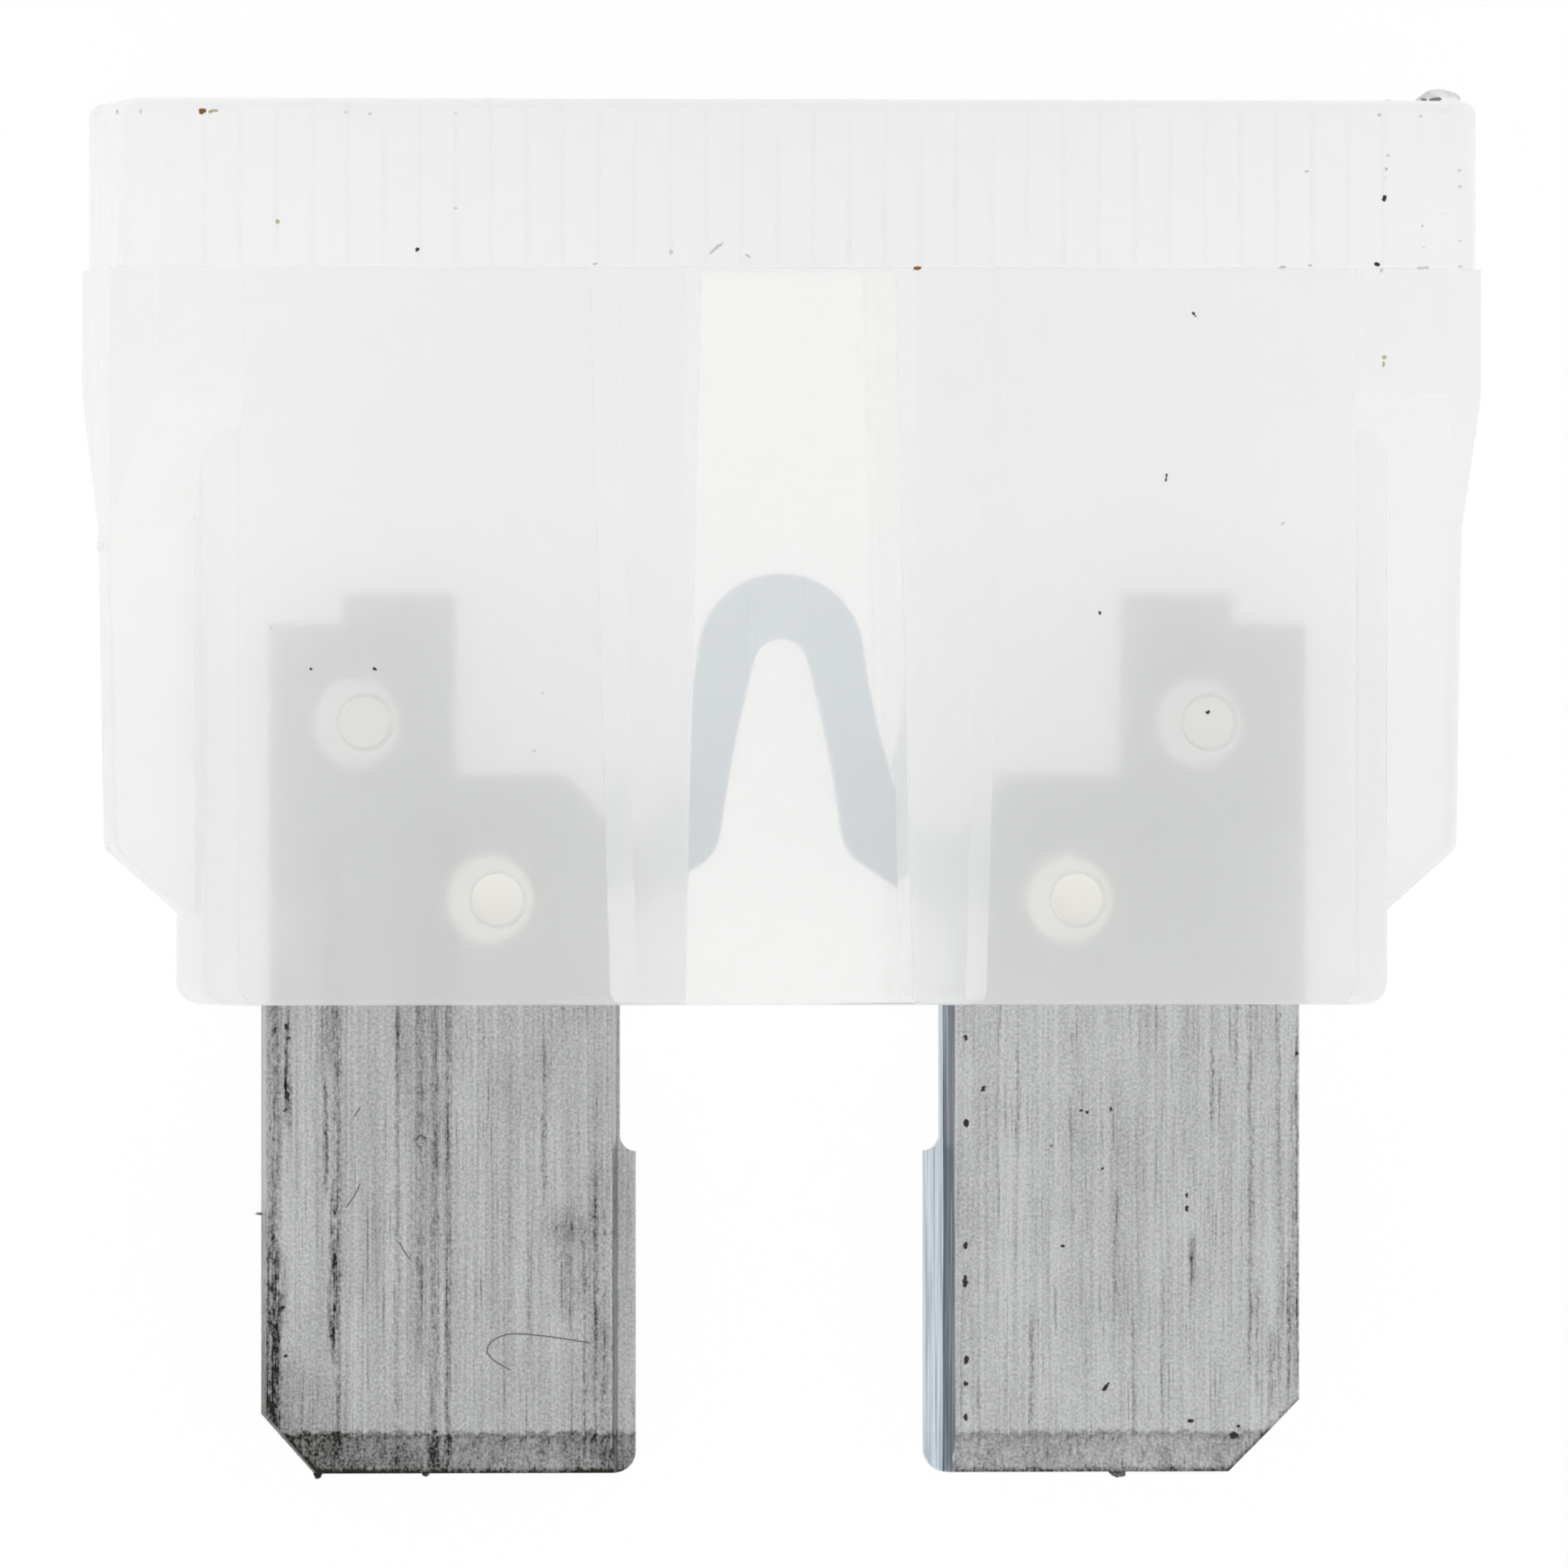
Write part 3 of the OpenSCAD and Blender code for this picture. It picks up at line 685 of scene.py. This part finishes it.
# Each speck: distance from the middle, height above the housing's underside, half length, half width, turn.
# They lie on the head, the panels, a punch mark's floor, the flash and the blades
specks = {
    "thickness": 0.012, "ragged": 0.06, "ripple": 28,
    "blackSpecks": {
        "head": [
            (-5.36, 10.39, 0.035, 0.025, 30), (7.97, 10.22, 0.04, 0.03, 20), (8.07, 11.13, 0.05, 0.03, 70),
        ],
        "panel": [
            (5.52, 9.53, 0.04, 0.014, -50), (5.13, 7.29, 0.06, 0.012, 88), (4.21, 5.41, 0.03, 0.018, 60),
            (-6.75, 4.63, 0.022, 0.018, 0), (-5.87, 4.63, 0.024, 0.02, 0),
        ],
        "punch": [
            (5.74, 4.04, 0.032, 0.024, 20),
        ],
        "blade": [
            (2.54, -0.46, 0.04, 0.03, 90), (2.55, -1.65, 0.06, 0.035, 80), (2.54, -3.34, 0.05, 0.03, 90),
            (2.53, -3.84, 0.09, 0.035, 88), (2.55, -4.93, 0.06, 0.03, 85), (2.54, -5.25, 0.04, 0.03, 90),
            (2.54, -5.72, 0.05, 0.03, 90), (2.78, -1.17, 0.045, 0.025, 60), (4.15, -1.48, 0.028, 0.022, 0),
            (4.24, -1.49, 0.03, 0.02, 40), (4.57, -1.46, 0.045, 0.02, 80), (3.9, -3.35, 0.03, 0.02, 0),
            (5.63, -2.65, 0.045, 0.018, 88), (5.63, -2.83, 0.04, 0.018, 92), (4.45, -2.28, 0.03, 0.018, 45),
            (3.73, -1.96, 0.028, 0.02, 0), (4.5, -5.3, 0.07, 0.02, 55), (7.17, -0.69, 0.03, 0.02, 90),
            (-6.92, -0.3, 0.04, 0.025, 70), (-6.9, -0.47, 0.03, 0.02, 20), (-6.9, -1.26, 0.05, 0.025, 85),
            (-6.93, -1.45, 0.035, 0.02, 40), (-7.08, -0.36, 0.05, 0.018, 88),
            (-6.97, -4.18, 0.04, 0.02, 50), (-7.03, -4.62, 0.05, 0.02, 85), (-6.93, -4.85, 0.03, 0.016, 30),
            (6.29, -5.98, 0.06, 0.045, 20), (6.34, -5.85, 0.03, 0.02, 0), (5.68, -5.78, 0.04, 0.03, 10),
        ],
    },
    "rustSpecks": {
        "head": [
            (-8.33, 12.29, 0.055, 0.04, 10), (1.58, 10.15, 0.055, 0.028, 4),
        ],
        "bladeEdge": [
            (6.37, -5.86, 0.05, 0.03, 0),
        ],
    },
    "faintSpecks": {
        "head": [
            (-9.5, 12.27, 0.03, 0.012, 80), (-9.18, 12.28, 0.035, 0.014, 70),
            (-6.35, 12.28, 0.02, 0.014, 0), (-6.02, 12.25, 0.026, 0.016, 20),
            (-4.83, 12.27, 0.022, 0.014, 0), (-4.83, 10.96, 0.02, 0.014, 0),
            (-1.84, 10.37, 0.03, 0.022, 60), (-1.22, 10.42, 0.13, 0.018, 38),
            (-0.78, 10.32, 0.04, 0.018, -40), (-2.89, 10.2, 0.03, 0.016, 0), (6.64, 10.17, 0.06, 0.016, 10),
            (7.03, 10.2, 0.03, 0.018, 0), (8.03, 10.13, 0.03, 0.018, 70), (8.62, 10.17, 0.09, 0.016, 2),
            (9.13, 10.19, 0.03, 0.014, 0), (8.1, 11.53, 0.026, 0.015, 20), (8.09, 11.41, 0.02, 0.014, 0),
            (9.12, 11.51, 0.022, 0.012, 10), (9.13, 11.29, 0.026, 0.014, 10), (9.12, 10.54, 0.02, 0.012, 0),
            (8.0, 12.28, 0.022, 0.016, 20), (8.58, 12.26, 0.02, 0.012, 70), (8.88, 10.92, 0.018, 0.012, 0),
            (7.0, 11.5, 0.03, 0.02, 0), (8.12, 11.72, 0.02, 0.014, 0), (8.6, 10.75, 0.02, 0.014, 60),
            (8.62, 10.45, 0.02, 0.012, 0),
        ],
        "panel": [
            (6.76, 6.65, 0.028, 0.018, 30), (-3.53, 4.3, 0.02, 0.016, 0), (-3.65, 3.51, 0.024, 0.02, 0),
            (-7.3, 5.2, 0.02, 0.014, 0),
        ],
    },
    "oliveSpecks": {
        "head": [
            (8.07, 8.93, 0.035, 0.025, 30), (8.06, 8.84, 0.04, 0.022, 80), (-7.29, 10.77, 0.035, 0.025, 60),
            (-8.18, 12.29, 0.06, 0.02, 10),
        ],
    },
    "flashSmudge": {
        "flash": [
            (8.87, 12.5, 0.09, 0.03, 8), (8.7, 12.5, 0.04, 0.02, 0),
        ],
    },
}
faces = {
    "head": head["halfThick"], "panel": body["halfPanel"], "punch": stake["floorDepth"], "flash": 2.0,
    "blade": elementHigh.z - middleZ, "bladeEdge": elementHigh.z - middleZ - 0.02,
}

# A hair and three nicks on the left blade
fibres = {
    "radius": 0.01,
    "paths": [
        [(-2.69, -4.68), (-3.23, -4.59), (-3.74, -4.53), (-3.96, -4.58), (-4.11, -4.68), (-4.16, -4.82),
         (-4.03, -4.94), (-3.81, -5.05)],
        [(-5.98, -1.55), (-5.94, -1.48), (-5.9, -1.42)],
        [(-6.09, -2.8), (-6.02, -2.69), (-5.97, -2.66), (-5.9, -2.48)],
        [(-5.35, -3.28), (-5.27, -3.45), (-5.2, -3.52)],
    ],
}

# Each lump: distance from the middle, height, depth, half length, half height
lumps = {
    "rough": 0.35, "ripple": 1.6, "flatness": 0.7,
    "flash": [(8.93, 12.52, 1.9, 0.27, 0.13), (8.78, 12.49, 1.9, 0.16, 0.1), (8.22, 12.46, 1.9, 0.07, 0.05),
              (-9.5, 6.34, 0.3, 0.045, 0.08)],
    "burrs": [(-6.45, -6.49, 0, 0.055, 0.065), (-4.95, -6.48, 0, 0.05, 0.045), (4.71, -6.5, 0, 0.12, 0.06),
              (-7.27, -2.89, 0, 0.05, 0.02), (-5.05, -1.89, 0.32, 0.085, 0.08)],
}


# Loose dirt is dry and matt, and its crumbs throw small shadows, so each colour is broken by a darker one
dirt = {
    "black": "#352F29", "rust": "#9A6428", "dust": "#DEDBD4", "olive": "#C9C09A", "smudge": "#8C8B88",
    "fibre": "#767674", "crumbs": (0.02, 0.02, 2.0, 1.2), "crumbShare": 0.2, "shade": 0.6, "roughness": 0.9,
}


def dirtMaterial(name, code):
    material, tree = newMaterial(name)
    position, _, _ = inMillimetres(tree)
    crumbs = calc(tree, "ADD", noise(tree, position, *dirt["crumbs"]), dirt["crumbShare"])
    shade = [channel * dirt["shade"] for channel in hexColour(code)[:3]] + [1.0]
    surface = addNode(tree, "ShaderNodeBsdfPrincipled", {
        "Base Color": blend(tree, crumbs, hexColour(code), shade), "Roughness": dirt["roughness"]})
    addNode(tree, "ShaderNodeOutputMaterial", {"Surface": surface.outputs[0]})
    return material


def speckTree(material):
    tree = bpy.data.node_groups.new("specks", "GeometryNodeTree")
    tree.interface.new_socket("Geometry", in_out="INPUT", socket_type="NodeSocketGeometry")
    for name in ("Thickness", "Raggedness"):
        tree.interface.new_socket(name, in_out="INPUT", socket_type="NodeSocketFloat")
    tree.interface.new_socket("Geometry", in_out="OUTPUT", socket_type="NodeSocketGeometry")
    given = addNode(tree, "NodeGroupInput").outputs
    named = {}
    for name in ("halfLength", "halfWidth", "turn"):
        read = addNode(tree, "GeometryNodeInputNamedAttribute", {"Name": name}, data_type="FLOAT")
        named[name] = read.outputs[0]
    size = addNode(tree, "ShaderNodeCombineXYZ", {
        "X": named["halfLength"], "Y": named["halfWidth"], "Z": given["Thickness"]})
    turn = addNode(tree, "ShaderNodeCombineXYZ", {"Z": named["turn"]})
    ball = addNode(tree, "GeometryNodeMeshIcoSphere", {"Radius": 1.0, "Subdivisions": 3})
    spread = addNode(tree, "GeometryNodeInstanceOnPoints", {
        "Points": given["Geometry"], "Instance": ball.outputs["Mesh"], "Rotation": turn.outputs[0],
        "Scale": size.outputs[0]})
    real = addNode(tree, "GeometryNodeRealizeInstances", {"Geometry": spread.outputs[0]})
    where = addNode(tree, "GeometryNodeInputPosition").outputs[0]
    wave = addNode(tree, "ShaderNodeTexNoise", {
        "Vector": where, "Scale": specks["ripple"] / mm, "Detail": 1.0})
    bump = calc(tree, "MULTIPLY", calc(tree, "SUBTRACT", wave.outputs[0], 0.5), given["Raggedness"])
    push = addNode(tree, "ShaderNodeVectorMath", {
        0: addNode(tree, "GeometryNodeInputNormal").outputs[0], "Scale": bump}, operation="SCALE")
    moved = addNode(tree, "GeometryNodeSetPosition", {"Geometry": real.outputs[0], "Offset": push.outputs[0]})
    skin = addNode(tree, "GeometryNodeSetMaterial", {"Geometry": moved.outputs[0], "Material": material})
    addNode(tree, "NodeGroupOutput", {"Geometry": skin.outputs[0]})
    return tree


def speckPiece(name, material):
    rows = [(place(x, height, faces[face]) * mm, length * mm, width * mm, math.radians(turn))
            for face, group in specks[name].items() for x, height, length, width, turn in group]
    mesh = bpy.data.meshes.new(name)
    mesh.from_pydata([row[0] for row in rows], [], [])
    for i, attribute in enumerate(("halfLength", "halfWidth", "turn")):
        layer = mesh.attributes.new(attribute, "FLOAT", "POINT")
        layer.data.foreach_set("value", [row[i + 1] for row in rows])
    return runNodes(newObject(name, mesh), speckTree(material), {
        "Thickness": specks["thickness"] * mm, "Raggedness": specks["ragged"] * mm})


def fibrePiece(material):
    curve = bpy.data.curves.new("fibres", "CURVE")
    curve.dimensions = "3D"
    curve.bevel_depth = fibres["radius"] * mm
    curve.bevel_resolution = 1
    for path in fibres["paths"]:
        line = curve.splines.new("NURBS")
        line.points.add(len(path) - 1)
        for point, (x, height) in zip(line.points, path):
            point.co = (place(x, height, faces["blade"]) * mm).to_4d()
        line.use_endpoint_u = True
    holder = newObject("fibreCurves", curve)
    bpy.context.view_layer.update()
    mesh = bpy.data.meshes.new_from_object(holder.evaluated_get(bpy.context.evaluated_depsgraph_get()))
    bpy.data.objects.remove(holder)
    mesh.materials.clear()
    mesh.materials.append(material)
    return newObject("fibres", mesh)


def lumpPiece(name, group, material):
    bm = bmesh.new()
    for x, height, depth, halfLong, halfHigh in group:
        middle = place(x, height, depth)
        size = Vector((halfLong, halfHigh, halfHigh * lumps["flatness"]))
        for vert in bmesh.ops.create_icosphere(bm, subdivisions=3, radius=1)["verts"]:
            rough = 1 + lumps["rough"] * turbulence(vert.co * lumps["ripple"] + middle)
            vert.co = middle + vert.co * size * rough
    for face in bm.faces:
        face.smooth = True
    return finishMesh(bm, name, material)


# Floor, light and camera

studio = {
    "worldLight": 0.85, "fromBelow": 0.47, "fromLeft": 0.08, "glow": 1.03, "glowShare": 0.9, "floorSize": 400,
    "floorColour": "#F2F2F2",
}
view = {"distance": 450, "turn": 7.2, "pixelsPerMm": 89.0, "frame": 1932, "aimX": 0.045, "aimY": 0.048}


def seenDirectly(tree):
    path = addNode(tree, "ShaderNodeLightPath").outputs
    return chain(tree, "MAXIMUM", [path["Is %s Ray" % kind] for kind in ("Camera", "Glossy", "Transmission")])


# White paper, pressed smooth and matt, and burnt out to white where it is seen, as in the photograph
def floorPiece():
    material, tree = newMaterial("whitePaperFloor")
    paper = addNode(tree, "ShaderNodeBsdfDiffuse", {"Color": hexColour(studio["floorColour"])})
    glow = addNode(tree, "ShaderNodeEmission", {"Color": (1, 1, 1, 1), "Strength": studio["glow"]})
    share = calc(tree, "MULTIPLY", seenDirectly(tree), studio["glowShare"])
    mixed = addNode(tree, "ShaderNodeMixShader", {0: share, 1: paper.outputs[0], 2: glow.outputs[0]})
    addNode(tree, "ShaderNodeOutputMaterial", {"Surface": mixed.outputs[0]})
    material.cycles.emission_sampling = "NONE"  # its glow depends on the ray, so only rays that meet it count
    half = studio["floorSize"] / 2
    bm = bmesh.new()
    bm.faces.new([bm.verts.new((x * half, y * half, housingLow.z))
                  for x, y in ((-1, -1), (1, -1), (1, 1), (-1, 1))])
    return finishMesh(bm, "floor", material)


def setWorld():
    world = bpy.data.worlds.new("softStudio")
    bpy.context.scene.world = world
    world.use_nodes = True
    world.cycles.sampling_method = "NONE"  # for the same reason
    tree = world.node_tree
    tree.nodes.clear()
    # more light comes from the side where the blades point, and a little more from the left
    sky = addNode(tree, "ShaderNodeTexCoord").outputs["Generated"]
    direction = addNode(tree, "ShaderNodeSeparateXYZ", {0: sky})
    below, left = studio["fromBelow"], studio["fromLeft"]
    side = calc(tree, "ADD", fade(tree, direction.outputs["Y"], -1, 1, 1 + below, 1 - below),
                fade(tree, direction.outputs["X"], -1, 1, left, -left))
    shown = addNode(tree, "ShaderNodeBackground", {"Color": (1, 1, 1, 1), "Strength": side})
    light = addNode(tree, "ShaderNodeBackground", {
        "Color": (1, 1, 1, 1), "Strength": calc(tree, "MULTIPLY", side, studio["worldLight"])})
    mixed = addNode(tree, "ShaderNodeMixShader", {
        0: seenDirectly(tree), 1: light.outputs[0], 2: shown.outputs[0]})
    addNode(tree, "ShaderNodeOutputWorld", {"Surface": mixed.outputs[0]})


def setCamera():
    data = bpy.data.cameras.new("camera")
    data.sensor_width = 36
    span = view["frame"] / view["pixelsPerMm"]
    data.lens = data.sensor_width * view["distance"] / span
    data.clip_start = 0.05
    data.clip_end = 5
    camera = newObject("camera", data)
    aim = Vector((view["aimX"], view["aimY"], middleZ)) * mm
    turn = math.radians(-view["turn"])
    camera.location = aim + Vector((math.sin(turn), 0, math.cos(turn))) * view["distance"] * mm
    camera.rotation_euler = Euler((0, turn, 0))
    bpy.context.scene.camera = camera


nylonMaterial = milkyNylon()
housing = housingPiece(nylonMaterial)
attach(housing, "root")
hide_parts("housing")

zincMaterial = tinnedZinc()
element = elementPiece(zincMaterial)
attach(element, "root")
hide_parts("fuse_element")

extras = [
    (speckPiece("blackSpecks", dirtMaterial("blackShopDirt", dirt["black"])), "housing"),
    (speckPiece("rustSpecks", dirtMaterial("rustDust", dirt["rust"])), "housing"),
    (speckPiece("faintSpecks", dirtMaterial("greyDust", dirt["dust"])), "housing"),
    (speckPiece("oliveSpecks", dirtMaterial("oliveDust", dirt["olive"])), "housing"),
    (speckPiece("flashSmudge", dirtMaterial("greySmudge", dirt["smudge"])), "housing"),
    (fibrePiece(dirtMaterial("greyFibre", dirt["fibre"])), "fuse_element"),
    (lumpPiece("mouldFlash", lumps["flash"], nylonMaterial), "housing"),
    (lumpPiece("cutBurrs", lumps["burrs"], zincMaterial), "fuse_element"),
]
for piece, materialSlot in extras:
    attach(piece, "root")
print("small pieces made")

floorPiece()
setWorld()
setCamera()

scene = bpy.context.scene
scene.view_settings.view_transform = "Standard"
scene.cycles.use_denoising = True
scene.cycles.use_adaptive_sampling = True
scene.cycles.adaptive_threshold = 0.04
scene.cycles.adaptive_min_samples = 16
scene.cycles.max_bounces = 80  # light passes the milky plastic only after many turns
scene.cycles.transmission_bounces = 60
scene.cycles.volume_bounces = 40
scene.cycles.glossy_bounces = 60
scene.cycles.filter_width = 2.0  # as soft as the photograph's lens
scene.cycles.blur_glossy = 0  # the filter would swallow light that leaves milky plastic

print("scene ready")
